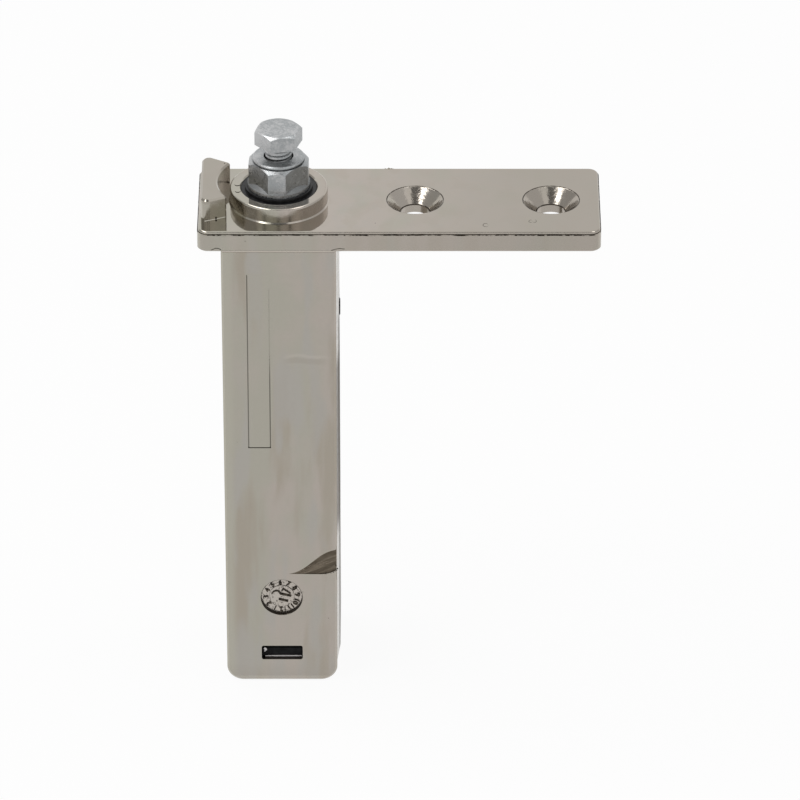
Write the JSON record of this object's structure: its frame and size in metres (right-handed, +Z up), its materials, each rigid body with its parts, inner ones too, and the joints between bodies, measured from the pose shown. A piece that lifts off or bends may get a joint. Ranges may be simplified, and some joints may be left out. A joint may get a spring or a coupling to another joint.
{
  "type": "refrigerator door hinge",
  "caption": "Self-closing cartridge hinge for a refrigerator door: cast plate with a collar ring and stop lug, square-headed pivot shaft, and a box that holds a helical cam and spring.",
  "frame": {"origin": "pivot axis in the plane of the plate's top face, at the foot of the collar ring", "axes": "+Z up along the pivot shaft, +X along the plate's long end, -Y towards the face with the date dial"},
  "size_m": [0.0945, 0.031, 0.1444],
  "materials": {
    "plated_casting": "nickel-plated zinc casting, polished on top, satin below",
    "zinc_steel": "bright zinc-plated steel with turning marks",
    "inner_steel": "oiled sintered or hardened steel",
    "spring_steel": "oiled spring steel",
    "black_steel": "blackened steel",
    "black_plastic": "glossy moulded black plastic"
  },
  "bodies": {
    "door_side": {"hinge_casting": "plated_casting", "pivot_bush": "black_plastic", "thrust_washer": "inner_steel", "stop_pin": "black_steel", "closing_spring": "spring_steel", "spring_seat": "inner_steel", "end_plug": "black_plastic"},
    "shaft": {"pivot_shaft": "zinc_steel", "clamp_bolt": "zinc_steel", "drive_cam": "inner_steel", "cam_pin": "inner_steel"},
    "follower": {"cam_follower": "inner_steel"}
  },
  "joints": [
    {"name": "shaft_turn", "type": "hinge", "parent": "door_side", "child": "shaft", "pos_m": [0, 0, 0], "axis": [0, 0, 1], "range_deg": [0, 105]},
    {"name": "follower_slide", "type": "slide", "parent": "door_side", "child": "follower", "axis": [0, 0, -1], "range_m": [0, 0.007], "stiffness_N_per_m": 41000, "deforming": ["closing_spring"]}
  ],
  "couplings": [
    {"joint": "shaft_turn", "follows": "follower_slide", "rad_per_m": 261.8}
  ]
}
